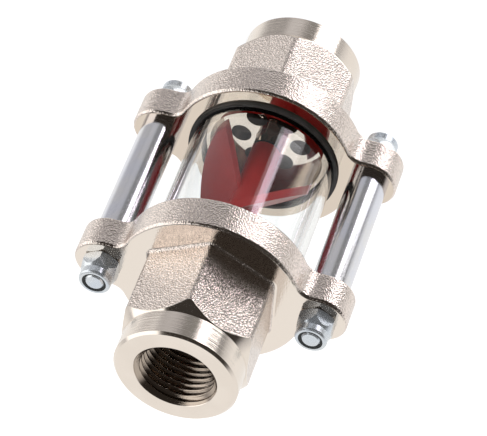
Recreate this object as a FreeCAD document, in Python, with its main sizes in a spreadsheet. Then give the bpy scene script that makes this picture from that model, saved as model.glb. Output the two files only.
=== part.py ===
import FreeCAD, Part
import os
import Sketcher
from FreeCAD import Placement, Rotation, Vector

# Impeller flow indicator: two threaded end bodies clamp a glass tube.
# A red rotor with two vanes turns inside it.
# The flow axis is Z. The origin is the centre of the lower end face, and the ears for the tie rods lie along X.

# Driving dimensions in millimetres and degrees
SIZES = {
    # End bodies
    "hub_length": 28.4,
    "flange_thickness": 9.1,
    "face_gap": 38.2,
    "flange_diameter": 48.5,
    "rim_round": 0.8,
    "collar_diameter": 31.7,
    "collar_length": 7.2,
    "shoulder_slope": 1.24,
    "end_chamfer": 0.65,
    "hex_width": 32.0,
    "hex_corner_round": 2.0,
    "hex_root_round": 1.0,
    "ear_spacing": 55.8,
    "ear_width": 14.9,
    "ear_blend": 4.0,
    "port_diameter": 20.955,
    "port_chamfer": 0.25,
    "port_depth": 17.0,
    "chamber_diameter": 24.0,
    "seat_diameter": 30.1,
    "groove_diameter": 40.2,
    "groove_depth": 1.4,
    # Glass and gaskets
    "glass_diameter": 38.2,
    "glass_wall": 2.5,
    "gasket_thickness": 2.2,
    "gasket_bore": 33.0,
    "gasket_clearance": 0.1,
    # Bearing plates, bushes and washers
    "plate_depth": 5.9,
    "plate_thickness": 3.0,
    "plate_clearance": 0.05,
    "boss_diameter": 7.7,
    "boss_height": 3.8,
    "flow_hole_diameter": 5.5,
    "flow_hole_circle": 15.9,
    "flow_hole_count": 6,
    "bush_wall": 1.0,
    "washer_diameter": 7.0,
    "washer_thickness": 0.6,
    "washer_clearance": 0.2,
    # Rotor
    "axle_diameter": 3.0,
    "axle_chamfer": 0.3,
    "running_clearance": 0.05,
    "press_clearance": 0.01,
    "rest_gap": 0.1,
    "axial_play": 1.0,
    "rotor_hub_diameter": 7.7,
    "vane_tip_diameter": 28.2,
    "vane_count": 2,
    "vane_thickness": 2.0,
    "vane_lean": 39.5,
    "rotor_rest_angle": 42.5,
    # Tie rods, sleeves and lock nuts
    "rod_diameter": 5.0,
    "rod_clearance": 0.25,
    "rod_chamfer": 0.4,
    "sleeve_diameter": 10.2,
    "nut_width": 8.8,
    "nut_height": 6.7,
    "nut_hex_height": 4.5,
    "nut_collar_diameter": 8.3,
    "nut_shoulder_slope": 2.6,
    "nut_seat_inset": 0.15,
    "nut_seat_slope": 0.58,
    "nut_lip_round": 0.6,
    "nut_thread_clearance": 0.05,
    "insert_wall": 0.6,
    "insert_depth": 1.9,
    "insert_drop": 0.25,
}

ROOT_OF_THREE = 3 ** 0.5
MATCH = 0.001


class Size:
    """A dimension that carries its number and the sheet formula that gives it."""

    def __init__(self, value, formula):
        self.value = value
        self.formula = formula

    def joined(self, other, sign, value):
        return Size(value, f"({self.formula} {sign} {size(other).formula})")

    def __add__(self, other):
        return self.joined(other, "+", self.value + size(other).value)

    def __sub__(self, other):
        return self.joined(other, "-", self.value - size(other).value)

    def __mul__(self, other):
        return self.joined(other, "*", self.value * size(other).value)

    def __truediv__(self, other):
        return self.joined(other, "/", self.value / size(other).value)

    def __neg__(self):
        return Size(-self.value, f"(0 - {self.formula})")


def size(number):
    """Take a plain number or a Size and give a Size."""
    return number if isinstance(number, Size) else Size(float(number), repr(float(number)))


doc = FreeCAD.newDocument("FlowIndicator")
sheet = doc.addObject("Spreadsheet::Sheet", "Sizes")
for row, (alias, number) in enumerate(SIZES.items(), start=1):
    sheet.set(f"A{row}", alias)
    sheet.set(f"B{row}", str(number))
    sheet.setAlias(f"B{row}", alias)
doc.recompute()
D = {alias: Size(float(number), f"Sizes.{alias}") for alias, number in SIZES.items()}

# Heights along the flow axis
FACE = D["hub_length"] + D["flange_thickness"]
UPPER_FACE = FACE + D["face_gap"]
TOP = UPPER_FACE + FACE
PLATE_TOP = FACE - D["plate_depth"]
PLATE_SEAT = PLATE_TOP - D["plate_thickness"]
BOSS_TOP = PLATE_TOP + D["boss_height"]
WASHER_TOP = BOSS_TOP + D["washer_thickness"]
HUB_BOTTOM = WASHER_TOP + D["rest_gap"]
HUB_TOP = TOP - WASHER_TOP - D["axial_play"]
GROOVE_FLOOR = FACE - D["groove_depth"]
EAR_TOP = UPPER_FACE + D["flange_thickness"]
ROD_LENGTH = EAR_TOP - D["hub_length"] + D["nut_height"] * 2

# Radii shared by pieces that fit each other
FLANGE_R = D["flange_diameter"] / 2
COLLAR_R = D["collar_diameter"] / 2
PORT_R = D["port_diameter"] / 2
SEAT_R = D["seat_diameter"] / 2
GROOVE_R = D["groove_diameter"] / 2
GASKET_R = GROOVE_R - D["gasket_clearance"]
GASKET_BORE_R = D["gasket_bore"] / 2
LIP_R = GASKET_BORE_R - D["gasket_clearance"]
GLASS_R = D["glass_diameter"] / 2
EAR_R = D["ear_width"] / 2
EAR_X = D["ear_spacing"] / 2
AXLE_R = D["axle_diameter"] / 2
BUSH_BORE_R = AXLE_R + D["running_clearance"]
BUSH_R = BUSH_BORE_R + D["bush_wall"]
ROD_R = D["rod_diameter"] / 2
ROD_HOLE_R = ROD_R + D["rod_clearance"]
NUT_BORE_R = ROD_R + D["nut_thread_clearance"]
INSERT_R = NUT_BORE_R + D["insert_wall"]
INSERT_FLOOR = D["nut_height"] - D["insert_depth"]
WASHER_BORE_R = AXLE_R + D["washer_clearance"]

pieces = []


def bind(item, path, dimension):
    """Set a property from the sheet."""
    item.setExpression(path, dimension.formula)


def place(item, x=None, z=None, turned=False):
    """Stand a piece at a height, turned end for end where it belongs to the upper half."""
    item.Placement = Placement(Vector(0, 0, 0), Rotation(Vector(1, 0, 0), 180 if turned else 0))
    if x is not None:
        bind(item, "Placement.Base.x", x)
    if z is not None:
        bind(item, "Placement.Base.z", z)


def keep(item, name):
    """Name a finished piece and put it on the list to be written."""
    item.Label = name
    pieces.append(item)
    return item


def new_body(name):
    return doc.addObject("PartDesign::Body", f"{name}_body")


def origin_feature(body, role):
    return next(item for item in body.Origin.OriginFeatures if item.Role == role)


def new_sketch(body, name, role="XY_Plane", height=None):
    """A sketch on one of the body's own origin planes, lifted along the plane's normal."""
    sketch = body.newObject("Sketcher::SketchObject", name)
    sketch.AttachmentSupport = [(origin_feature(body, role), "")]
    sketch.MapMode = "FlatFace"
    if height is not None:
        bind(sketch, "AttachmentOffset.Base.z", height)
    return sketch


def pin_point(sketch, edge, end, x, y):
    """Tie one end of an edge to the sketch origin by its two coordinates."""
    for kind, axis, coordinate in (("DistanceX", -2, x), ("DistanceY", -1, y)):
        if coordinate.value == 0:
            sketch.addConstraint(Sketcher.Constraint("PointOnObject", edge, end, axis))
            continue
        ends = (-1, 1, edge, end) if coordinate.value > 0 else (edge, end, -1, 1)
        index = sketch.addConstraint(Sketcher.Constraint(kind, *ends, abs(coordinate.value)))
        positive = coordinate if coordinate.value > 0 else -coordinate
        bind(sketch, f"Constraints[{index}]", positive)


def draw_outline(sketch, points):
    """A closed outline of straight edges with each corner tied to the sheet."""
    corners = [(size(x), size(y)) for x, y in points]
    for (x, y), (next_x, next_y) in zip(corners, corners[1:] + corners[:1]):
        start = Vector(x.value, y.value, 0)
        sketch.addGeometry(Part.LineSegment(start, Vector(next_x.value, next_y.value, 0)))
    count = len(corners)
    for edge in range(count):
        sketch.addConstraint(Sketcher.Constraint("Coincident", edge, 2, (edge + 1) % count, 1))
    for edge, (x, y) in enumerate(corners):
        pin_point(sketch, edge, 1, x, y)


def draw_circle(sketch, radius, x=0):
    """A circle on the sketch's own X axis."""
    x = size(x)
    edge = sketch.addGeometry(Part.Circle(Vector(x.value, 0, 0), Vector(0, 0, 1), radius.value))
    pin_point(sketch, edge, 3, x, size(0))
    index = sketch.addConstraint(Sketcher.Constraint("Radius", edge, radius.value))
    bind(sketch, f"Constraints[{index}]", radius)


def hexagon(width):
    """Corners of a hexagon across its flats, with two corners on the Y axis."""
    flat = width / 2
    half_side = width / (2 * ROOT_OF_THREE)
    corner = half_side * 2
    right_side = [(flat, -half_side), (flat, half_side), (0, corner)]
    left_side = [(-flat, half_side), (-flat, -half_side), (0, -corner)]
    return right_side + left_side


def pad(body, sketch, name, length):
    feature = body.newObject("PartDesign::Pad", name)
    feature.Profile = sketch
    bind(feature, "Length", length)
    doc.recompute()
    return feature


def cut_upwards(body, sketch, name):
    """Cut a sketch out of everything above its plane."""
    before = body.Shape.Volume
    feature = body.newObject("PartDesign::Pocket", name)
    feature.Profile = sketch
    feature.Type = "ThroughAll"
    feature.Reversed = True
    doc.recompute()
    if body.Shape.Volume >= before:
        raise RuntimeError(f"{name} cuts nothing")
    return feature


def revolved(body, kind, name, points):
    """Revolve a half section about the flow axis, to add or to cut."""
    sketch = new_sketch(body, f"{name}_section", "XZ_Plane")
    draw_outline(sketch, points)
    feature = body.newObject(f"PartDesign::{kind}", name)
    feature.Profile = sketch
    feature.ReferenceAxis = (sketch, ["V_Axis"])
    feature.Angle = 360
    doc.recompute()
    return feature


def round_edges(body, base, name, radius, wanted):
    """Round the edges of a feature that pass a test."""
    edges = [f"Edge{n}" for n, edge in enumerate(base.Shape.Edges, start=1) if wanted(edge)]
    feature = body.newObject("PartDesign::Fillet", name)
    feature.Base = (base, edges)
    bind(feature, "Radius", radius)
    doc.recompute()
    return feature


def polar_copies(body, original, name, count):
    """Repeat a feature evenly about the flow axis."""
    feature = body.newObject("PartDesign::PolarPattern", name)
    feature.Originals = [original]
    feature.Axis = (origin_feature(body, "Z_Axis"), [""])
    feature.Angle = 360
    bind(feature, "Occurrences", count)
    body.Tip = feature
    doc.recompute()
    return feature


def middle_of(edge):
    return edge.valueAt((edge.FirstParameter + edge.LastParameter) / 2)


def reach_of(edge):
    """Distance of an edge's middle from the flow axis."""
    point = middle_of(edge)
    return (point.x ** 2 + point.y ** 2) ** 0.5


def near(number, target):
    return abs(number - size(target).value) < MATCH


def stands_upright(edge):
    box = edge.BoundBox
    return box.ZLength > MATCH and box.XLength < MATCH and box.YLength < MATCH


def lies_at(edge, height):
    box = edge.BoundBox
    return near(box.ZMin, height) and near(box.ZMax, height)


def ring(name, outer, inner, height):
    """A plain tube or washer that stands on its own origin."""
    outside = doc.addObject("Part::Cylinder", f"{name}_outside")
    inside = doc.addObject("Part::Cylinder", f"{name}_inside")
    for cylinder, radius in ((outside, outer), (inside, inner)):
        bind(cylinder, "Radius", radius)
        bind(cylinder, "Height", height)
    tube = doc.addObject("Part::Cut", f"{name}_tube")
    tube.Base = outside
    tube.Tool = inside
    return keep(tube, name)


def end_body(name):
    """One end body: hexagon, turned collar, flange with two ears, and the stepped bore."""
    body = new_body(name)
    flange = new_sketch(body, f"{name}_flange_sketch", height=D["hub_length"])
    draw_circle(flange, FLANGE_R)
    pad(body, flange, f"{name}_flange", D["flange_thickness"])
    for side, end in (("left", EAR_X), ("right", -EAR_X)):
        bridge = new_sketch(body, f"{name}_{side}_bridge_sketch", height=D["hub_length"])
        draw_outline(bridge, [(0, -EAR_R), (end, -EAR_R), (end, EAR_R), (0, EAR_R)])
        pad(body, bridge, f"{name}_{side}_bridge", D["flange_thickness"])
        ear = new_sketch(body, f"{name}_{side}_ear_sketch", height=D["hub_length"])
        draw_circle(ear, EAR_R, end)
        last = pad(body, ear, f"{name}_{side}_ear", D["flange_thickness"])

    # Where an ear's straight side meets the round flange, a hollow blend takes off the sharp corner
    meeting_x = (FLANGE_R.value ** 2 - EAR_R.value ** 2) ** 0.5

    def in_ear_corner(edge):
        point = middle_of(edge)
        return stands_upright(edge) and near(abs(point.y), EAR_R) and near(abs(point.x), meeting_x)

    blended = round_edges(body, last, f"{name}_ear_blend", D["ear_blend"], in_ear_corner)

    def on_flange_outline(edge):
        return lies_at(edge, D["hub_length"]) or lies_at(edge, FACE)

    round_edges(body, blended, f"{name}_rim_round", D["rim_round"], on_flange_outline)

    # The hexagon, with rounded corners and a small blend into the flange
    hub = new_sketch(body, f"{name}_hexagon_sketch")
    draw_outline(hub, hexagon(D["hex_width"]))
    hub_pad = pad(body, hub, f"{name}_hexagon", D["hub_length"])
    corner = D["hex_width"] / ROOT_OF_THREE

    def is_hexagon_corner(edge):
        return stands_upright(edge) and near(reach_of(edge), corner)

    corners_name = f"{name}_hexagon_corners"
    rounded = round_edges(body, hub_pad, corners_name, D["hex_corner_round"], is_hexagon_corner)

    def is_hexagon_root(edge):
        return lies_at(edge, D["hub_length"]) and reach_of(edge) < corner.value

    round_edges(body, rounded, f"{name}_hexagon_root", D["hex_root_round"], is_hexagon_root)

    # The collar and the sloping shoulder that the lathe leaves on the hexagon's corners
    shoulder_top = D["collar_length"] + (corner - COLLAR_R) * D["shoulder_slope"]
    revolved(body, "Groove", f"{name}_collar", [
        (COLLAR_R - D["end_chamfer"], 0),
        (COLLAR_R, D["end_chamfer"]),
        (COLLAR_R, D["collar_length"]),
        (corner, shoulder_top),
        (corner, 0),
    ])

    # The bore: threaded port, wider chamber and plate seat, with a gasket groove round its mouth
    chamber_r = D["chamber_diameter"] / 2
    revolved(body, "Groove", f"{name}_bore", [
        (0, 0),
        (PORT_R + D["port_chamfer"], 0),
        (PORT_R, D["port_chamfer"]),
        (PORT_R, D["port_depth"]),
        (chamber_r, D["port_depth"] + chamber_r - PORT_R),
        (chamber_r, PLATE_SEAT),
        (SEAT_R, PLATE_SEAT),
        (SEAT_R, FACE),
        (0, FACE),
    ])
    revolved(body, "Groove", f"{name}_gasket_groove", [
        (LIP_R, GROOVE_FLOOR),
        (GROOVE_R, GROOVE_FLOOR),
        (GROOVE_R, FACE),
        (LIP_R, FACE),
    ])

    holes = new_sketch(body, f"{name}_rod_hole_sketch")
    draw_circle(holes, ROD_HOLE_R, EAR_X)
    draw_circle(holes, ROD_HOLE_R, -EAR_X)
    cut_upwards(body, holes, f"{name}_rod_holes")
    return keep(body, name)


def bearing_plate(name):
    """A perforated disc with a central boss that carries the bush."""
    body = new_body(name)
    disc = new_sketch(body, f"{name}_disc_sketch", height=PLATE_SEAT)
    draw_circle(disc, SEAT_R - D["plate_clearance"])
    pad(body, disc, f"{name}_disc", D["plate_thickness"])
    boss = new_sketch(body, f"{name}_boss_sketch", height=PLATE_TOP)
    draw_circle(boss, D["boss_diameter"] / 2)
    pad(body, boss, f"{name}_boss", D["boss_height"])
    bore = new_sketch(body, f"{name}_bore_sketch")
    draw_circle(bore, BUSH_R + D["press_clearance"])
    cut_upwards(body, bore, f"{name}_bore")
    hole = new_sketch(body, f"{name}_flow_hole_sketch")
    draw_circle(hole, D["flow_hole_diameter"] / 2, D["flow_hole_circle"] / 2)
    first = cut_upwards(body, hole, f"{name}_flow_hole")
    polar_copies(body, first, f"{name}_flow_holes", D["flow_hole_count"])
    return keep(body, name)


def rotor():
    """A hub with two flat vanes on opposite sides, leaning the same way round and trimmed round."""
    body = new_body("rotor")
    tip_r = D["vane_tip_diameter"] / 2
    slab = new_sketch(body, "rotor_vane_sketch", "YZ_Plane")
    slab.AttachmentOffset = Placement(Vector(0, 0, 0), Rotation(Vector(0, 0, -1), D["vane_lean"].value))
    bind(slab, "AttachmentOffset.Base.y", (HUB_BOTTOM + HUB_TOP) / 2)
    bind(slab, "AttachmentOffset.Rotation.Angle", D["vane_lean"])
    half = D["vane_thickness"] / 2
    reach = D["vane_tip_diameter"]
    draw_outline(slab, [(-half, -reach), (half, -reach), (half, reach), (-half, reach)])
    vane = pad(body, slab, "rotor_vane", tip_r)
    polar_copies(body, vane, "rotor_vanes", D["vane_count"])
    hub = new_sketch(body, "rotor_hub_sketch", height=HUB_BOTTOM)
    draw_circle(hub, D["rotor_hub_diameter"] / 2)
    pad(body, hub, "rotor_hub", HUB_TOP - HUB_BOTTOM)
    trim = new_sketch(body, "rotor_trim_sketch")
    draw_circle(trim, tip_r)
    draw_circle(trim, reach * 2)
    cut_upwards(body, trim, "rotor_trim")
    bore = new_sketch(body, "rotor_bore_sketch")
    draw_circle(bore, AXLE_R + D["press_clearance"])
    cut_upwards(body, bore, "rotor_bore")
    body.Placement = Placement(Vector(0, 0, 0), Rotation(Vector(0, 0, 1), D["rotor_rest_angle"].value))
    bind(body, "Placement.Rotation.Angle", D["rotor_rest_angle"])
    return keep(body, "rotor")


def pin(name, radius, start, end, chamfer):
    """A round bar along the flow axis with chamfered ends."""
    body = new_body(name)
    inset = radius - chamfer
    revolved(body, "Revolution", f"{name}_bar", [
        (0, start),
        (inset, start),
        (radius, start + chamfer),
        (radius, end - chamfer),
        (inset, end),
        (0, end),
    ])
    return keep(body, name)


def turn_hexagon_end(body, name, start, face, slope):
    """Take a nut's corners off with a cone that leaves its end face at a radius."""
    corner = D["nut_width"] / ROOT_OF_THREE
    drop = (corner - start) * slope
    revolved(body, "Groove", name, [(start, face), (corner, face), (corner, face + drop)])


def lock_nut(name):
    """A hexagon nut with a round collar that holds the locking insert."""
    body = new_body(name)
    base = new_sketch(body, f"{name}_base_sketch")
    draw_outline(base, hexagon(D["nut_width"]))
    pad(body, base, f"{name}_base", D["nut_hex_height"])
    seat_r = D["nut_width"] / 2 - D["nut_seat_inset"]
    turn_hexagon_end(body, f"{name}_seat_turning", seat_r, size(0), D["nut_seat_slope"])
    collar_r = D["nut_collar_diameter"] / 2
    shoulder_name = f"{name}_shoulder_turning"
    turn_hexagon_end(body, shoulder_name, collar_r, D["nut_hex_height"], -D["nut_shoulder_slope"])
    collar = new_sketch(body, f"{name}_collar_sketch", height=D["nut_hex_height"])
    draw_circle(collar, collar_r)
    collar_pad = pad(body, collar, f"{name}_collar", D["nut_height"] - D["nut_hex_height"])

    def is_lip(edge):
        return lies_at(edge, D["nut_height"])

    round_edges(body, collar_pad, f"{name}_lip", D["nut_lip_round"], is_lip)
    revolved(body, "Groove", f"{name}_bore", [
        (0, 0),
        (NUT_BORE_R, 0),
        (NUT_BORE_R, INSERT_FLOOR),
        (INSERT_R, INSERT_FLOOR),
        (INSERT_R, D["nut_height"]),
        (0, D["nut_height"]),
    ])
    return keep(body, name)


# The pieces that each end has: the upper ones are the lower ones turned end for end
for end_name, is_upper in (("lower", False), ("upper", True)):
    start = TOP if is_upper else size(0)
    place(end_body(f"{end_name}_housing"), z=start, turned=is_upper)
    place(bearing_plate(f"{end_name}_bearing_plate"), z=start, turned=is_upper)
    rings = (
        ("gasket", GASKET_R, GASKET_BORE_R, D["gasket_thickness"], GROOVE_FLOOR),
        ("bush", BUSH_R, BUSH_BORE_R, BOSS_TOP - PLATE_SEAT, PLATE_SEAT),
        ("thrust_washer", D["washer_diameter"] / 2, WASHER_BORE_R, D["washer_thickness"], BOSS_TOP),
    )
    for kind, outer, inner, height, level in rings:
        piece = ring(f"{end_name}_{kind}", outer, inner, height)
        place(piece, z=TOP - level if is_upper else level, turned=is_upper)

glass_length = D["face_gap"] + (D["groove_depth"] - D["gasket_thickness"]) * 2
glass = ring("sight_glass", GLASS_R, GLASS_R - D["glass_wall"], glass_length)
place(glass, z=GROOVE_FLOOR + D["gasket_thickness"])
rotor()
pin("rotor_axle", AXLE_R, PLATE_SEAT, TOP - PLATE_SEAT, D["axle_chamfer"])

# The two clamping sets through the ears, each a rod with a lock nut at both ends
for side_name, ear_x in (("left", EAR_X), ("right", -EAR_X)):
    rod = pin(f"tie_rod_{side_name}", ROD_R, size(0), ROD_LENGTH, D["rod_chamfer"])
    place(rod, ear_x, D["hub_length"] - D["nut_height"])
    sleeve = ring(f"spacer_sleeve_{side_name}", D["sleeve_diameter"] / 2, ROD_HOLE_R, D["face_gap"])
    place(sleeve, ear_x, FACE)
    insert_height = D["nut_height"] - D["insert_drop"] - INSERT_FLOOR
    for end_name, seat, outwards in (("lower", D["hub_length"], -1), ("upper", EAR_TOP, 1)):
        nut = lock_nut(f"{end_name}_lock_nut_{side_name}")
        place(nut, ear_x, seat, turned=outwards < 0)
        insert_name = f"{end_name}_nylon_ring_{side_name}"
        insert = ring(insert_name, INSERT_R - D["press_clearance"], NUT_BORE_R, insert_height)
        place(insert, ear_x, seat + INSERT_FLOOR * outwards, turned=outwards < 0)

doc.recompute()
faulty = [item.Name for item in doc.Objects if "Invalid" in item.State or "Error" in item.State]
if faulty:
    raise RuntimeError(f"objects not built: {faulty}")
for piece in pieces:
    if piece.Shape.isNull() or not piece.Shape.isValid() or len(piece.Shape.Solids) != 1:
        raise RuntimeError(f"{piece.Label} is not one sound solid")

os.makedirs("parts", exist_ok=True)
for piece in pieces:
    piece.Shape.exportStep(f"parts/{piece.Label}.step")
    print(f"{piece.Label}: {piece.Shape.Volume:.2f} cubic mm")
print(f"{len(pieces)} pieces, {TOP.value:.2f} mm tall")
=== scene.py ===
# %% [markdown]
# # A flow indicator, dressed for its portrait
# Water runs through this fitting from one pipe to the next and spins a red rotor behind glass.
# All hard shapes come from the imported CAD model, so this lesson is mostly about surfaces and light.
# Loading comes first, because every finish below is placed by the model's own coordinates in metres.

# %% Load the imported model
import math
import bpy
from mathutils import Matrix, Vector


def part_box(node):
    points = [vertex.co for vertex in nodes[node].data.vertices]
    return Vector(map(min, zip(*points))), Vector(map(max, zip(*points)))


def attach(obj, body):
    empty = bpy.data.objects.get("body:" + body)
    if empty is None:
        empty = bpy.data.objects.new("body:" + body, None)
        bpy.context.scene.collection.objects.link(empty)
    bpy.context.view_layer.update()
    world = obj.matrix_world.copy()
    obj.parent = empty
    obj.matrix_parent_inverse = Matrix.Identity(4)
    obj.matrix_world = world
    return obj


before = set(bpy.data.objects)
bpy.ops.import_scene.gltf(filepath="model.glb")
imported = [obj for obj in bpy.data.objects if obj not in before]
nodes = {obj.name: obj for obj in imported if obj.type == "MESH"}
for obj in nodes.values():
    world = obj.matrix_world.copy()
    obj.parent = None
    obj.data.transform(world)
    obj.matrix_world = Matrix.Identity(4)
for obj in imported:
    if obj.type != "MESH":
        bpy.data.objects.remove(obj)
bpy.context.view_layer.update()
from types import SimpleNamespace

import bmesh
import bpy
from mathutils import Matrix, Vector

# %% [markdown]
# The flow axis is Z, and both end bodies are alike, so a surface is known by two numbers:
# how far it is from the axis, and how far it is from the middle of the glass.
# The heights could be typed in, but measured from the pieces they keep the finishes on their faces.

# %% Measure the levels that separate one finish from another
MM = 0.001
PORT_PIECE = "upper_housing"
low_end, high_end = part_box(PORT_PIECE)
TOP = high_end.z
MIDDLE = TOP / 2
SEALING_LEVEL = low_end.z - MIDDLE
END_LEVEL = TOP - MIDDLE
EAR_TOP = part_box("upper_lock_nut_left")[0].z
FRONT_LEVEL = EAR_TOP - MIDDLE
print(f"from the middle: sealing face {SEALING_LEVEL / MM:.2f} mm, flange front {FRONT_LEVEL / MM:.2f} mm")

# %% [markdown]
# Materials are built from nodes. One helper fills a node's inputs, with plain numbers or with
# another node's output, and one adds a node and fills it. The rest are short names for the nodes
# that turn up again and again, so that each recipe below reads like a list of steps.

# %% Helpers for building with nodes
def fill(tree, node, inputs):
    """Fill a node's inputs with plain numbers or with other nodes' outputs."""
    for key, value in inputs.items():
        if isinstance(value, bpy.types.NodeSocket):
            tree.links.new(value, node.inputs[key])
        else:
            node.inputs[key].default_value = value


def add(tree, kind, inputs=None, **options):
    """Add a node, set its options and fill its inputs."""
    made = tree.nodes.new(kind)
    for name, value in options.items():
        setattr(made, name, value)
    fill(tree, made, inputs or {})
    return made


def maths(tree, operation, first, second=0.0):
    """One sum on two values."""
    made = add(tree, "ShaderNodeMath", {0: first, 1: second}, operation=operation)
    return made.outputs[0]


def ramp(tree, value, low, high, start=0.0, end=1.0):
    """Turn a value into a soft step between two limits."""
    made = add(tree, "ShaderNodeMapRange", {0: value, 1: low, 2: high, 3: start, 4: end},
               interpolation_type="SMOOTHSTEP")
    return made.outputs[0]


def blend(tree, factor, first, second):
    """Mix two colours."""
    made = add(tree, "ShaderNodeMix", {"Factor": factor, 6: first, 7: second}, data_type="RGBA")
    return made.outputs[2]


def noise(tree, place, scale, detail=2.0, roughness=0.5):
    """A cloudy pattern; scale is the number of grains in a metre."""
    inputs = {"Vector": place, "Scale": scale, "Detail": detail, "Roughness": roughness}
    return add(tree, "ShaderNodeTexNoise", inputs).outputs["Fac"]


print("finishes are built in Blender", bpy.app.version_string)

# %% [markdown]
# Every finish starts as an empty material that knows the piece's own coordinates. Those are Object
# coordinates: every piece sits at the origin in metres, so a grain has the same size on all of them.
# A finished material then goes into the only slot of each piece that it belongs to.

# %% Start a finish and put it on pieces
def new_finish(name):
    """An empty material with its shader, its output and the piece's own coordinates."""
    finish = bpy.data.materials.new(name)
    finish.use_nodes = True
    tree = finish.node_tree
    tree.nodes.clear()
    shader = add(tree, "ShaderNodeBsdfPrincipled")
    add(tree, "ShaderNodeOutputMaterial", {"Surface": shader.outputs[0]})
    place = add(tree, "ShaderNodeTexCoord").outputs["Object"]
    return finish, tree, shader, place


def dress(finish, *names):
    """Put one finish on CAD pieces."""
    for name in names:
        nodes[name].data.materials.clear()
        nodes[name].data.materials.append(finish)
    print(finish.name, "on", ", ".join(names))

# %% [markdown]
# The end bodies are hot-pressed brass under nickel plate. The pressed skin keeps a sandy grain, while
# the collar, the end face, the thread and the sealing face were cut on a lathe and shine.
# Deep in the chambers and the ports the colour is darkened with painted shade, so hardly any light comes
# back out of the bores.
# The faces could have a material each, but the CAD meshes stay as they are, so one material does it all.
# Its masks come first: each is one on its own faces and nothing elsewhere.

# %% Masks for the faces of an end body
TURNED_RADIUS = 15.95 * MM
SHOULDER_SLOPE = 1.24
SHOULDER_SUM = 69.05 * MM
SHOULDER_LEVEL = 45 * MM
SHOULDER_MARGIN = 0.2 * MM
SEALING_LIMIT = SEALING_LEVEL + 0.06 * MM
PLATE_LEVEL = SEALING_LEVEL + 5.9 * MM
SOCKET_LIMIT = PLATE_LEVEL + 0.1 * MM
PORT_LEVEL = END_LEVEL - 17.0 * MM
PORT_RADIUS = 10.6 * MM
FRONT_MARGIN = 0.12 * MM


def below(tree, value, limit):
    """One where a value is less than a limit."""
    return maths(tree, "LESS_THAN", value, limit)


def above(tree, value, limit):
    """One where a value is more than a limit."""
    return maths(tree, "GREATER_THAN", value, limit)


def both(tree, first, second):
    """One where two masks overlap."""
    return maths(tree, "MULTIPLY", first, second)


def either(tree, first, second):
    """One where at least one of two masks is."""
    return maths(tree, "MAXIMUM", first, second)


def between(tree, value, low, high):
    """One where a value lies between two limits."""
    return both(tree, above(tree, value, low), below(tree, value, high))


def axis_numbers(tree, place):
    """Distance from the flow axis and distance from the middle of the glass, in metres."""
    flat = add(tree, "ShaderNodeVectorMath", {0: place, 1: (1, 1, 0)}, operation="MULTIPLY")
    radius = add(tree, "ShaderNodeVectorMath", {0: flat.outputs[0]}, operation="LENGTH")
    height = add(tree, "ShaderNodeSeparateXYZ", {0: place}).outputs["Z"]
    level = maths(tree, "ABSOLUTE", maths(tree, "SUBTRACT", height, MIDDLE))
    return radius.outputs["Value"], level


def body_faces(tree, radius, level):
    """The masks of an end body."""
    inner = below(tree, radius, TURNED_RADIUS)
    sealing = below(tree, level, SEALING_LIMIT)
    socket = both(tree, inner, below(tree, level, SOCKET_LIMIT))
    chamber = both(tree, inner, between(tree, level, SOCKET_LIMIT, PORT_LEVEL))
    cone = maths(tree, "ADD", maths(tree, "MULTIPLY", radius, SHOULDER_SLOPE), level)
    on_cone = between(tree, cone, SHOULDER_SUM - SHOULDER_MARGIN, SHOULDER_SUM + SHOULDER_MARGIN)
    shoulder = both(tree, on_cone, above(tree, level, SHOULDER_LEVEL))
    return SimpleNamespace(
        sealing=sealing,
        chamber=chamber,
        recess=maths(tree, "SUBTRACT", either(tree, chamber, socket), sealing),
        turned=either(tree, either(tree, inner, sealing), shoulder),
        front=between(tree, level, FRONT_LEVEL - FRONT_MARGIN, FRONT_LEVEL + FRONT_MARGIN),
        flange=below(tree, level, FRONT_LEVEL + FRONT_MARGIN),
        port=both(tree, below(tree, radius, PORT_RADIUS), above(tree, level, PORT_LEVEL)),
    )


print(f"bearing plate {PLATE_LEVEL / MM:.2f} mm and port {PORT_LEVEL / MM:.2f} mm from the middle")

# %% [markdown]
# Now the colours, laid one over another: the pressed skin first, then the turned faces, then painted shade
# in the port and the recesses. The skin mottles with its grain, with painted shade in its hollows, and the
# turned faces are brighter, with slow clouds.
# A painted picture could hold this too, but noise has no seams and stays sharp at any distance.

# %% Colours of an end body
NICKEL_LIGHT = (0.815, 0.74, 0.665, 1)
NICKEL_DULL = (0.78, 0.705, 0.63, 1)
PRESSED_LIGHT = (0.82, 0.735, 0.68, 1)
# Darker skin where the grain is low: random mottle, and painted shade in the grain's hollows
PRESSED_DARK_AND_HOLLOW_SHADE = (0.63, 0.555, 0.505, 1)
SEALING_TAN = (0.70, 0.61, 0.52, 1)
# Painted shade: the port and its thread are darkened because little light reaches into the bore
PORT_SHADE = (0.42, 0.355, 0.295, 1)
# Painted shade in the socket between the sealing face and the bearing plate
SOCKET_SHADE = (0.42, 0.355, 0.30, 1)
# Painted shade deep in the chambers and on the backs of the bearing plates
PAINTED_DEEP_SHADE = (0.12, 0.095, 0.075, 1)
GRAIN_EDGES = (0.3, 0.6)
CLOUD_EDGES = (0.35, 0.65)


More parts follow.
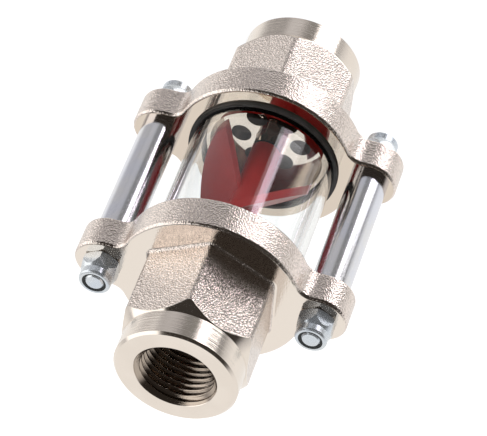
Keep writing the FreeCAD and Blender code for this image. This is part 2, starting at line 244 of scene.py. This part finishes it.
def body_colour(tree, face, grain, cloud):
    """Sandy skin with painted shade in its hollows, bright turned faces, painted shade in port and
    recesses.
    """
    # The same grain raises the bump, so its low spots get painted shade as well as mottle
    pressed = blend(tree, ramp(tree, grain, *GRAIN_EDGES), PRESSED_DARK_AND_HOLLOW_SHADE, PRESSED_LIGHT)
    skin = blend(tree, face.front, pressed, NICKEL_LIGHT)
    turned = blend(tree, ramp(tree, cloud, *CLOUD_EDGES), NICKEL_DULL, NICKEL_LIGHT)
    turned = blend(tree, face.sealing, turned, SEALING_TAN)
    colour = blend(tree, face.turned, skin, turned)
    # Painted shade: the port, the socket and the chambers are darkened where little light reaches
    colour = blend(tree, face.port, colour, PORT_SHADE)
    recess = blend(tree, face.chamber, SOCKET_SHADE, PAINTED_DEEP_SHADE)
    return blend(tree, face.recess, colour, recess)


print("turned nickel from", NICKEL_DULL[:3], "to", NICKEL_LIGHT[:3])

# %% [markdown]
# Gloss follows the tool that made each face. The press leaves a satin skin, a little smoother on the
# flange fronts. The lathe leaves faces that shine in rings, the sealing face is nearly a mirror, and
# the chambers are matt. One roughness for everything would be quicker, but it would look like paint.

# %% Gloss of an end body
WIDE_EDGES = (0.3, 0.7)
PRESSED_ROUGH = (0.14, 0.22)
TURNED_ROUGH = (0.1, 0.17)
FRONT_POLISH = 0.7
SEALING_ROUGH = 0.035
CHAMBER_ROUGH = 0.45


def choose(tree, mask, first, second):
    """The first number where the mask is nothing, and the second where it is one."""
    return add(tree, "ShaderNodeMix", {"Factor": mask, 2: first, 3: second}).outputs[0]


def body_roughness(tree, face, fine, lines):
    """Satin skin, shiny turned faces, a mirror on the sealing face and matt chambers."""
    pressed = ramp(tree, fine, *WIDE_EDGES, *PRESSED_ROUGH)
    skin = choose(tree, face.front, pressed, maths(tree, "MULTIPLY", pressed, FRONT_POLISH))
    turned = ramp(tree, lines, *WIDE_EDGES, *TURNED_ROUGH)
    turned = choose(tree, face.sealing, turned, SEALING_ROUGH)
    return choose(tree, face.chamber, choose(tree, face.turned, skin, turned), CHAMBER_ROUGH)


print("roughness from", SEALING_ROUGH, "on the sealing face to", CHAMBER_ROUGH, "in the chambers")

# %% [markdown]
# The sandy grain is about a tenth of a millimetre high. Displacing the mesh by it would take millions
# of faces, so a bump tilts the light instead: small pits with soft noise on the skin, stronger on the
# hexagon than on the flanges, and fine turning lines on what was cut.

# %% Relief of an end body
GRAIN_SHARE = 0.8
SKIN_RISE = 0.13 * MM
HUB_STRENGTH = 0.95
FLANGE_STRENGTH = 0.6
FRONT_STRENGTH = 0.08
LINE_RISE = 0.05 * MM
LINE_STRENGTH = 0.6
SEALING_STRENGTH = 0.01


def bump(tree, height, rise, strength, under=None):
    """Raise a surface by a pattern, up to a rise in metres, on top of an earlier bump."""
    inputs = {"Strength": strength, "Distance": rise, "Height": height}
    if under is not None:
        inputs["Normal"] = under
    return add(tree, "ShaderNodeBump", inputs).outputs[0]


def body_relief(tree, face, grain, pits, lines):
    """Grain on the skin and fine lines on the turned faces."""
    sand = maths(tree, "ADD", pits, maths(tree, "MULTIPLY", grain, GRAIN_SHARE))
    strength = choose(tree, face.flange, HUB_STRENGTH, FLANGE_STRENGTH)
    strength = choose(tree, face.front, strength, FRONT_STRENGTH)
    skin = bump(tree, sand, SKIN_RISE, choose(tree, face.turned, strength, 0.0))
    strength = maths(tree, "MULTIPLY", face.turned, LINE_STRENGTH)
    strength = choose(tree, face.sealing, strength, SEALING_STRENGTH)
    return bump(tree, lines, LINE_RISE, strength, skin)


print(f"grain up to {SKIN_RISE / MM:.2f} mm high, turning lines up to {LINE_RISE / MM:.2f} mm")

# %% [markdown]
# The patterns come last: noise and pits for the skin, and for the turning lines noise in one dimension.
# It is read along radius and height together, so it runs in rings round the axis.
# The finished material goes on both end bodies, and the threads take it later.

# %% Nickel plate over pressed and turned brass
GRAIN_SCALE = 2650
FINE_SCALE = 4200
PIT_SCALE = 2400
CLOUD_SCALE = 90
LINE_SCALE = 2600


def rings_of(tree, radius, level, scale):
    """Turning lines, in rings round the axis on every turned face."""
    spread = maths(tree, "ADD", radius, level)
    inputs = {"W": spread, "Scale": scale, "Detail": 3.0, "Roughness": 0.7}
    return add(tree, "ShaderNodeTexNoise", inputs, noise_dimensions="1D").outputs["Fac"]


def plated_brass():
    """The finish of an end body and of its thread."""
    finish, tree, shader, place = new_finish("plated_brass")
    radius, level = axis_numbers(tree, place)
    face = body_faces(tree, radius, level)
    grain = noise(tree, place, GRAIN_SCALE, roughness=0.55)
    fine = noise(tree, place, FINE_SCALE, detail=1.0)
    pits = add(tree, "ShaderNodeTexVoronoi", {"Vector": place, "Scale": PIT_SCALE}).outputs["Distance"]
    cloud = noise(tree, place, CLOUD_SCALE)
    lines = rings_of(tree, radius, level, LINE_SCALE)
    fill(tree, shader, {
        "Base Color": body_colour(tree, face, grain, cloud),
        "Roughness": body_roughness(tree, face, fine, lines),
        "Normal": body_relief(tree, face, grain, pits, lines),
        "Metallic": 1.0,
    })
    return finish


plated = plated_brass()
dress(plated, "lower_housing", "upper_housing")

# %% [markdown]
# The perforated bearing plates are turned discs of the same plated brass. Their faces towards the rotor
# are bright and show the rotor again. The holes and the backs get the same painted shade as the chambers
# behind them, and the boss in the middle has a painted dark reflection.

# %% Turned plates behind the rotor
BOSS_RADIUS = 4.0 * MM
# Painted dark reflection on the boss, which mirrors the dark inside of the fitting
BOSS_SHADE = (0.40, 0.345, 0.295, 1)
PLATE_DULL = (0.76, 0.69, 0.61, 1)
PLATE_BACK = PLATE_LEVEL + 0.08 * MM
PLATE_RING_SCALE = 5000
PLATE_CLOUD_SCALE = 160
PLATE_CLOUD_EDGES = (0.35, 0.7)
PLATE_ROUGH = (0.04, 0.09)
PLATE_RISE = 0.01 * MM
PLATE_STRENGTH = 0.12


def turned_plate():
    """A bright face, a painted dark reflection on the boss and painted shade in the holes and on the back.
    """
    finish, tree, shader, place = new_finish("turned_plate")
    radius, level = axis_numbers(tree, place)
    rings = rings_of(tree, radius, level, PLATE_RING_SCALE)
    cloud = noise(tree, place, PLATE_CLOUD_SCALE, detail=3.0)
    behind = above(tree, level, PLATE_BACK)
    colour = blend(tree, ramp(tree, cloud, *PLATE_CLOUD_EDGES), NICKEL_LIGHT, PLATE_DULL)
    # Painted dark reflection on the boss
    colour = blend(tree, below(tree, radius, BOSS_RADIUS), colour, BOSS_SHADE)
    rough = ramp(tree, rings, *WIDE_EDGES, *PLATE_ROUGH)
    fill(tree, shader, {
        # Painted shade in the holes and on the back of the plate
        "Base Color": blend(tree, behind, colour, PAINTED_DEEP_SHADE),
        "Roughness": choose(tree, behind, rough, CHAMBER_ROUGH),
        "Normal": bump(tree, rings, PLATE_RISE, PLATE_STRENGTH),
        "Metallic": 1.0,
    })
    return finish


dress(turned_plate(), "lower_bearing_plate", "upper_bearing_plate")

# %% [markdown]
# Sleeves, tie rods and nuts are steel with bright zinc plate. Zinc has a cold blue cast with faint cloudy
# tints from the passivation bath, and the tube it is made from keeps faint lines along its length.
# Nuts and rods are plated loose in a barrel, where they rub on each other, so they are duller than
# the sleeves and a little of their light is scattered. One recipe with other numbers makes both.

# %% Bright zinc on the clamping parts
DRAWN_STRETCH = (1, 1, 0.04)
DRAWN_SCALE = 2600
SPECK_SCALE = 2400
SPECK_SHARE = 0.5
TINT_SCALE = 140
ZINC_RISE = 0.012 * MM
ZINC_STRENGTH = 0.3


def scaled(tree, place, factors):
    """Coordinates squeezed or stretched along the three axes."""
    return add(tree, "ShaderNodeMapping", {"Vector": place, "Scale": factors}).outputs[0]


def named(*words):
    """The CAD pieces whose names hold one of these words."""
    return [name for name in nodes if any(word in name for word in words)]


def zinc(name, cold, warm, rough, metal):
    """Zinc plate between two tints and two degrees of roughness."""
    finish, tree, shader, place = new_finish(name)
    drawn = noise(tree, scaled(tree, place, DRAWN_STRETCH), DRAWN_SCALE)
    speck = noise(tree, place, SPECK_SCALE)
    tint = noise(tree, place, TINT_SCALE)
    relief = maths(tree, "ADD", drawn, maths(tree, "MULTIPLY", speck, SPECK_SHARE))
    fill(tree, shader, {
        "Base Color": blend(tree, ramp(tree, tint, *CLOUD_EDGES), cold, warm),
        "Roughness": ramp(tree, speck, *WIDE_EDGES, *rough),
        "Normal": bump(tree, relief, ZINC_RISE, ZINC_STRENGTH),
        "Metallic": metal,
    })
    return finish


bright_zinc = zinc("bright_zinc", cold=(0.72, 0.735, 0.80, 1), warm=(0.75, 0.75, 0.77, 1),
                   rough=(0.12, 0.22), metal=1.0)
tumbled_zinc = zinc("tumbled_zinc", cold=(0.56, 0.61, 0.67, 1), warm=(0.60, 0.63, 0.65, 1),
                    rough=(0.2, 0.32), metal=0.9)
dress(bright_zinc, *named("sleeve"))
dress(tumbled_zinc, *named("tie_rod", "lock_nut"))

# %% [markdown]
# The sight glass is a thick-walled tube. A clear film would be simpler, but it bends nothing, and here
# real refraction matters: it shifts the view of the rotor and draws dark lines along the tube's edges.
# A faint waviness from drawing the tube keeps it from looking perfect.

# %% Clear glass
GLASS_IOR = 1.47
GLASS_CLEAR = (0.985, 0.99, 0.99, 1)
GLASS_GREEN = (0.97, 0.985, 0.98, 1)
WAVE_STRETCH = (1, 1, 0.1)
WAVE_SCALE = 120
WAVE_RISE = 0.02 * MM
WAVE_STRENGTH = 0.05


def clear_glass():
    """Polished glass with a hint of green and slow waves along the tube."""
    finish, tree, shader, place = new_finish("clear_glass")
    wave = noise(tree, scaled(tree, place, WAVE_STRETCH), WAVE_SCALE, detail=1.0)
    fill(tree, shader, {
        "Base Color": blend(tree, wave, GLASS_CLEAR, GLASS_GREEN),
        "Normal": bump(tree, wave, WAVE_RISE, WAVE_STRENGTH),
        "Roughness": 0.0,
        "IOR": GLASS_IOR,
        "Transmission Weight": 1.0,
    })
    return finish


dress(clear_glass(), "sight_glass")

# %% [markdown]
# The rotor is moulded red plastic, and it is what a person looks for through the glass.
# The soft parts beside it are dark: rubber gaskets, thrust washers and the nylon rings in the lock nuts.
# All of them share one recipe with its own colours, grain size and gloss.

# %% Plastics and rubber
GRAINS_IN_A_CLOUD = 8
MOULD_STRENGTH = 0.3


def moulded(name, light, dark, grains, rise, rough, shine=0.5):
    """A moulded surface: two shades in soft clouds, with a fine skin of its own."""
    finish, tree, shader, place = new_finish(name)
    cloud = noise(tree, place, grains / GRAINS_IN_A_CLOUD, detail=3.0)
    grain = noise(tree, place, grains)
    fill(tree, shader, {
        "Base Color": blend(tree, ramp(tree, cloud, *WIDE_EDGES), dark, light),
        "Roughness": ramp(tree, grain, *WIDE_EDGES, *rough),
        "Normal": bump(tree, grain, rise, MOULD_STRENGTH),
        "Specular IOR Level": shine,
    })
    return finish


red_plastic = moulded("red_plastic", light=(0.62, 0.03, 0.03, 1), dark=(0.56, 0.025, 0.026, 1),
                      grains=1800, rise=0.02 * MM, rough=(0.3, 0.42), shine=0.22)
black_rubber = moulded("black_rubber", light=(0.02, 0.019, 0.018, 1), dark=(0.014, 0.013, 0.012, 1),
                       grains=2500, rise=0.03 * MM, rough=(0.45, 0.6))
black_plastic = moulded("black_plastic", light=(0.012, 0.013, 0.013, 1), dark=(0.008, 0.009, 0.009, 1),
                        grains=2500, rise=0.01 * MM, rough=(0.35, 0.5), shine=0.25)
bearing_plastic = moulded("bearing_plastic", light=(0.8, 0.78, 0.72, 1), dark=(0.74, 0.72, 0.66, 1),
                          grains=2500, rise=0.01 * MM, rough=(0.35, 0.5))
dress(red_plastic, "rotor")
dress(black_rubber, "lower_gasket", "upper_gasket")
dress(black_plastic, "lower_thrust_washer", "upper_thrust_washer", *named("nylon_ring"))
dress(bearing_plastic, "lower_bush", "upper_bush")

# %% [markdown]
# The axle is a ground stainless pin. Grinding leaves very fine rings, so its noise is drawn out across
# the axle and stays fine along it. Hardly any of it shows, so it needs no bump.

# %% Ground steel
STEEL_LIGHT = (0.66, 0.65, 0.63, 1)
STEEL_DARK = (0.58, 0.57, 0.55, 1)
STEEL_ROUGH = (0.18, 0.28)
GROUND_STRETCH = (0.1, 0.1, 1)
GROUND_SCALE = 9000


def ground_steel():
    """Bright steel with rings from the grinding wheel."""
    finish, tree, shader, place = new_finish("ground_steel")
    rings = noise(tree, scaled(tree, place, GROUND_STRETCH), GROUND_SCALE)
    fill(tree, shader, {
        "Base Color": blend(tree, rings, STEEL_DARK, STEEL_LIGHT),
        "Roughness": ramp(tree, rings, *WIDE_EDGES, *STEEL_ROUGH),
        "Metallic": 1.0,
    })
    return finish


dress(ground_steel(), "rotor_axle")

# %% [markdown]
# The ports have a pipe thread, which the solids leave as a plain wall at the thread's root.
# It is about a millimetre deep and shows in outline at the mouth, so it is real mesh and not bump.
# The ridge is one thread section carried round the axis by a spin with a small climb at each step.
# Both ends are then pressed back against a cone: at the mouth that is the countersink which leads
# a pipe in, and at the inner end it is where the tap ran out, so the ridge tapers away and needs no caps.

# %% Pipe thread in both ports
PITCH = 1.814 * MM
ROOT_RADIUS = 10.4775 * MM
CREST_RADIUS = 9.316 * MM
FLANK = math.tan(math.radians(27.5))
ROUND_HEIGHT = 0.18 * MM
CREST_RISE = 0.3
CREST_SPREAD = 0.62
EMBED = 0.04 * MM
MOUTH_DEPTH = 0.02 * MM
MOUTH_RADIUS = ROOT_RADIUS + 0.27 * MM
THREAD_START = -0.64 * MM
THREAD_END = 16.6 * MM
STEPS_A_TURN = 90
WELD = 0.002 * MM


def thread_section():
    """Radius and height of the ridge's section, from one root over the crest to the next root."""
    pitch_radius = (ROOT_RADIUS + CREST_RADIUS) / 2
    crest_edge = CREST_RADIUS + ROUND_HEIGHT
    root_edge = ROOT_RADIUS - ROUND_HEIGHT
    crest_half = PITCH / 4 - (pitch_radius - crest_edge) * FLANK
    root_half = PITCH / 4 + (root_edge - pitch_radius) * FLANK
    half = [
        (CREST_RADIUS, 0.0),
        (CREST_RADIUS + ROUND_HEIGHT * CREST_RISE, crest_half * CREST_SPREAD),
        (crest_edge, crest_half),
        (root_edge, root_half),
        (ROOT_RADIUS + EMBED, PITCH / 2),
    ]
    return [(radius, -rise) for radius, rise in reversed(half[1:])] + half


def thread_ridge():
    """The ridge of a port whose mouth is at the origin and whose bore runs up along Z."""
    form = bmesh.new()
    steps = math.ceil((THREAD_END - THREAD_START + PITCH / 2) / PITCH * STEPS_A_TURN)
    corners = [form.verts.new((radius, 0, rise + THREAD_START)) for radius, rise in thread_section()]
    ring = [form.edges.new(pair) for pair in zip(corners, corners[1:] + corners[:1])]
    bmesh.ops.spin(form, geom=corners + ring, cent=(0, 0, 0), axis=(0, 0, 1),
                   dvec=(0, 0, PITCH / STEPS_A_TURN), angle=steps / STEPS_A_TURN * math.tau,
                   steps=steps, use_merge=False)
    for corner in form.verts:
        depth = min(max(corner.co.z, MOUTH_DEPTH), THREAD_END)
        reach = corner.co.xy.length
        wall = max(reach, MOUTH_RADIUS - depth, ROOT_RADIUS + EMBED - (THREAD_END - depth))
        corner.co = (corner.co.x * wall / reach, corner.co.y * wall / reach, depth)
    bmesh.ops.remove_doubles(form, verts=form.verts[:], dist=WELD)
    bmesh.ops.dissolve_degenerate(form, edges=form.edges[:], dist=WELD)
    return form


def port_thread(name, mouth, inwards):
    """A threaded ridge that starts at a port's mouth and runs inwards along the flow axis."""
    form = thread_ridge()
    turn = Matrix.Rotation(math.pi, 4, "X") if inwards < 0 else Matrix.Identity(4)
    bmesh.ops.transform(form, matrix=Matrix.Translation((0, 0, mouth)) @ turn, verts=form.verts[:])
    bmesh.ops.recalc_face_normals(form, faces=form.faces[:])
    open_edges = sum(edge.is_boundary for edge in form.edges)
    mesh = bpy.data.meshes.new(name)
    form.to_mesh(mesh)
    form.free()
    mesh.polygons.foreach_set("use_smooth", [True] * len(mesh.polygons))
    mesh.materials.append(plated)
    thread = bpy.data.objects.new(name, mesh)
    bpy.context.scene.collection.objects.link(thread)
    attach(thread, "indicator_body")
    print(name, len(mesh.polygons), "faces,", open_edges, "open edges")


port_thread("lower_port_thread", 0.0, 1)
port_thread("upper_port_thread", TOP, -1)

# %% [markdown]
# The photograph was taken with a long lens from above one end, with the camera rolled well over.
# Aiming by eye would only come close, so its axes were found by fitting the round flanges, the ears,
# the hexagon and the sleeves, and they are written here as they are.

# %% Camera at the photograph's viewing angle
CAMERA_PLACE = Vector((-113.45, -561.28, 539.2)) * MM
CAMERA_RIGHT = Vector((-0.9566, -0.0535, -0.2863)).normalized()
CAMERA_FORWARD = Vector((0.1504, 0.7510, -0.6429)).normalized()
LENS_LENGTH = 218.06
SENSOR_WIDTH = 36.0

camera_data = bpy.data.cameras.new("camera")
camera_data.lens = LENS_LENGTH
camera_data.sensor_width = SENSOR_WIDTH
camera = bpy.data.objects.new("camera", camera_data)
bpy.context.scene.collection.objects.link(camera)
camera_up = CAMERA_RIGHT.cross(CAMERA_FORWARD).normalized()
axes = Matrix((CAMERA_RIGHT, camera_up, -CAMERA_FORWARD)).transposed()
camera.matrix_world = Matrix.Translation(CAMERA_PLACE) @ axes.to_4x4()
bpy.context.scene.camera = camera
print("camera", camera.matrix_world.translation)

# %% [markdown]
# Shiny metal shows its surroundings, so a studio is painted on the world's sphere, one layer over
# another: grey walls that brighten downwards, the dark corner where the camera stands, a panel that
# fills from one side, a lamp panel with a hot core, patches of grey room round both, and a white table.
# Each patch is placed by its azimuth about Z and its elevation above the horizon, in degrees.

# %% Paint a small studio
WALL_GREY = (0.54, 0.53, 0.54, 1)
LOW_WHITE = (0.95, 0.95, 0.96, 1)
LOW_EDGES = (-66, -36)
TABLE_WHITE = (1.0, 0.99, 0.975, 1)
TABLE_SIDE = (-0.125, 0.992, -0.3)
TABLE_EDGES = (0.0, 0.42)
DARK_CORNER = (0.045, 0.040, 0.036, 1)
ROOM_GREY = (0.28, 0.275, 0.27, 1)
FILL_WHITE = (1.6, 1.58, 1.56, 1)
PANEL_WHITE = (1.35, 1.33, 1.36, 1)
LOW_PANEL = (3.5, 3.45, 3.5, 1)
PANEL_CORE = (6.2, 5.0, 5.7, 1)

world = bpy.data.worlds.new("studio")
bpy.context.scene.world = world
world.use_nodes = True
world.cycles.sampling_method = "NONE"
air = world.node_tree
air.nodes.clear()
sight = add(air, "ShaderNodeTexCoord").outputs["Generated"]
sight_parts = add(air, "ShaderNodeSeparateXYZ", {0: sight}).outputs
azimuth = maths(air, "DEGREES", maths(air, "ARCTAN2", sight_parts["Y"], sight_parts["X"]))
elevation = maths(air, "DEGREES", maths(air, "ARCSINE", sight_parts["Z"]))


def along(direction):
    """How far the line of sight points along a direction."""
    made = add(air, "ShaderNodeVectorMath", {0: sight, 1: direction}, operation="DOT_PRODUCT")
    return made.outputs["Value"]


def towards(turn, lift):
    """A direction from its azimuth and its elevation."""
    turn, lift = math.radians(turn), math.radians(lift)
    return (math.cos(turn) * math.cos(lift), math.sin(turn) * math.cos(lift), math.sin(lift))


def window(value, low, high, edge):
    """One between two limits and nothing outside, with soft edges."""
    rising = ramp(air, value, low - edge, low + edge)
    falling = ramp(air, value, high - edge, high + edge, 1, 0)
    return both(air, rising, falling)


def panel(left, right, bottom, top, edge):
    """A patch between two azimuths and two elevations."""
    return both(air, window(azimuth, left, right, edge), window(elevation, bottom, top, edge))


def spot(turn, lift, inner, outer):
    """A round patch that fades from an inner to an outer angle about its middle."""
    limits = math.cos(math.radians(outer)), math.cos(math.radians(inner))
    return ramp(air, along(towards(turn, lift)), *limits)


layers = (
    # White light from below
    (ramp(air, elevation, *LOW_EDGES, 1, 0), LOW_WHITE),
    # The dark corner behind the camera, high and low
    (spot(252, 70, 45, 62), DARK_CORNER),
    (spot(252, 25, 59.5, 72.5), DARK_CORNER),
    # The room below the fill panel, then the panel itself
    (panel(-45, 14, -75, -42.5, 2), ROOM_GREY),
    (panel(-40, 14, -33, 68, 2), FILL_WHITE),
    # The room round the lamp panel
    (spot(258, -40, 9, 20), ROOM_GREY),
    (panel(-165, -129, -41.2, -22, 1.5), ROOM_GREY),
    # The lamp panel, its bright lower part and its hot core
    (panel(-129, -110, -72, -30, 0.7), PANEL_WHITE),
    (panel(-155, -110, -76, -41.5, 0.6), LOW_PANEL),
    (panel(-129, -115, -42, -38.2, 0.3), PANEL_CORE),
    # The table
    (ramp(air, along(TABLE_SIDE), *TABLE_EDGES), TABLE_WHITE),
)
studio_colour = WALL_GREY
for share, colour in layers:
    studio_colour = blend(air, share, studio_colour, colour)
print("studio painted in", len(layers), "layers")

# %% [markdown]
# The painted studio is only for rays that have met a mirror on their way, also when they leave through
# the glass afterwards. Scattered rays see a plain soft white, and the view behind the object stays white.

# %% Choose what each ray sees
WHITE = (1, 1, 1, 1)
SOFT_LEVEL = 0.5
FIRST_BOUNCE = 0.5


def sky(colour, strength):
    """A light of one colour from all round."""
    return add(air, "ShaderNodeBackground", {"Color": colour, "Strength": strength})


def mixed(tree, share, first, second):
    """Two shaders mixed by a share of the second."""
    return add(tree, "ShaderNodeMixShader", {0: share, 1: first.outputs[0], 2: second.outputs[0]})


rays = add(air, "ShaderNodeLightPath").outputs
mirrored = above(air, rays["Glossy Depth"], FIRST_BOUNCE)
scattered = above(air, rays["Diffuse Depth"], FIRST_BOUNCE)
shiny = mixed(air, mirrored, sky(WHITE, 1.0), sky(studio_colour, 1.0))
seen = mixed(air, scattered, shiny, sky(WHITE, SOFT_LEVEL))
add(air, "ShaderNodeOutputWorld", {"Surface": seen.outputs[0]})
print("the world has", len(air.nodes), "nodes")

# %% [markdown]
# The floor is plain and pale. To a camera it adds enough of its own white to vanish into the background,
# and the rest of it is an ordinary matt surface, so the shadow under the object stays.
# Rays that come from a mirror pass through it, because the painted studio has its own table.

# %% Floor
FLOOR_SIZE = 6.0
FLOOR_COLOUR = (0.9, 0.9, 0.9, 1)
FLOOR_GLOW = 1.06
FLOOR_SHARE = 0.78


def pale_floor():
    """White to the eye, matt to the light, and absent for rays from a mirror."""
    finish, tree, shader, _ = new_finish("pale_floor")
    fill(tree, shader, {"Base Color": FLOOR_COLOUR, "Roughness": 1.0, "Specular IOR Level": 0.0})
    rays = add(tree, "ShaderNodeLightPath").outputs
    looked_at = either(tree, rays["Is Camera Ray"], rays["Is Transmission Ray"])
    looked_at = either(tree, looked_at, rays["Is Glossy Ray"])
    glow = add(tree, "ShaderNodeEmission", {"Color": WHITE, "Strength": FLOOR_GLOW})
    ground = mixed(tree, maths(tree, "MULTIPLY", looked_at, FLOOR_SHARE), shader, glow)
    from_mirror = above(tree, rays["Glossy Depth"], FIRST_BOUNCE)
    seen = mixed(tree, from_mirror, ground, add(tree, "ShaderNodeBsdfTransparent"))
    fill(tree, tree.nodes["Material Output"], {"Surface": seen.outputs[0]})
    return finish


form = bmesh.new()
bmesh.ops.create_grid(form, x_segments=1, y_segments=1, size=FLOOR_SIZE / 2)
floor_mesh = bpy.data.meshes.new("floor")
form.to_mesh(floor_mesh)
form.free()
floor_mesh.materials.append(pale_floor())
floor = bpy.data.objects.new("floor", floor_mesh)
bpy.context.scene.collection.objects.link(floor)
floor.visible_glossy = False
print("floor", FLOOR_SIZE, "m square")

# %% [markdown]
# Three large lamps give the soft light of a product table. They are big so that shadows stay pale,
# and rays from metal and glass skip them, because both already see the painted studio.
# Each lamp has a name, a place in metres, a width in metres and a power in watts.

# %% Lamps
LAMPS = (
    ("key", (-0.45, -0.55, 0.65), 0.5, 9.0),
    ("fill", (0.6, -0.35, 0.45), 0.5, 5.0),
    ("top", (0.1, 0.25, 0.9), 0.7, 8.0),
)
lit_point = Vector((0, 0, MIDDLE))
for name, place, width, power in LAMPS:
    lamp_data = bpy.data.lights.new(name, "AREA")
    lamp_data.size = width
    lamp_data.energy = power
    lamp = bpy.data.objects.new(name, lamp_data)
    lamp.location = place
    lamp.rotation_euler = (lit_point - Vector(place)).to_track_quat("-Z", "Y").to_euler()
    lamp.visible_glossy = False
    lamp.visible_transmission = False
    lamp.visible_camera = False
    bpy.context.scene.collection.objects.link(lamp)
print(len(LAMPS), "lamps")

# %% [markdown]
# Colours are shown as they are written, so the view transform is the standard one.

# %% Finish
bpy.context.scene.view_settings.view_transform = "Standard"
